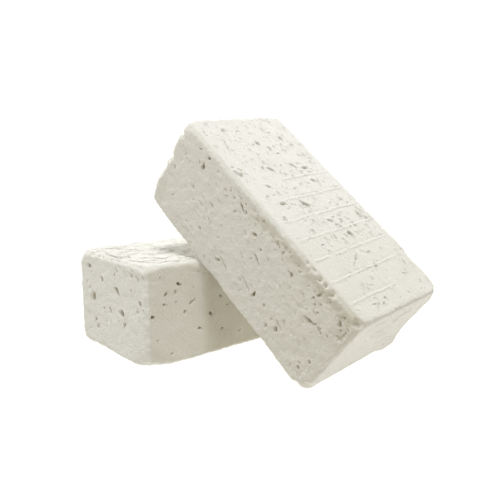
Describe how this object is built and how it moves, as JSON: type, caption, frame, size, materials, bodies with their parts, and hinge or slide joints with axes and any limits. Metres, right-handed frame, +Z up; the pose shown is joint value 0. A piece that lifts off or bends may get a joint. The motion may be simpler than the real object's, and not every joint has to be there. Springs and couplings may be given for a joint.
{
  "type": "gymnastics chalk block",
  "caption": "Rounded bricks of dry pressed gymnastics chalk, one lying flat with another leaning on its upper edge, lifted away to be rubbed on the hands.",
  "frame": {"origin": "centre of the flat block's underside, on the surface that it lies on", "axes": "+Z up; +X along the flat block's length; +Y across it, away from the leaning block's foot"},
  "size_m": [0.1, 0.1241, 0.0937],
  "materials": {
    "pressed_chalk": "matte"
  },
  "bodies": {
    "flat_block": {"flat_block": "pressed_chalk"},
    "leaning_block": {"leaning_block": "pressed_chalk"}
  },
  "joints": [
    {"name": "lift_off", "type": "slide", "parent": "flat_block", "child": "leaning_block", "axis": [0, 0, 1], "range_m": [0, 0.06]}
  ]
}
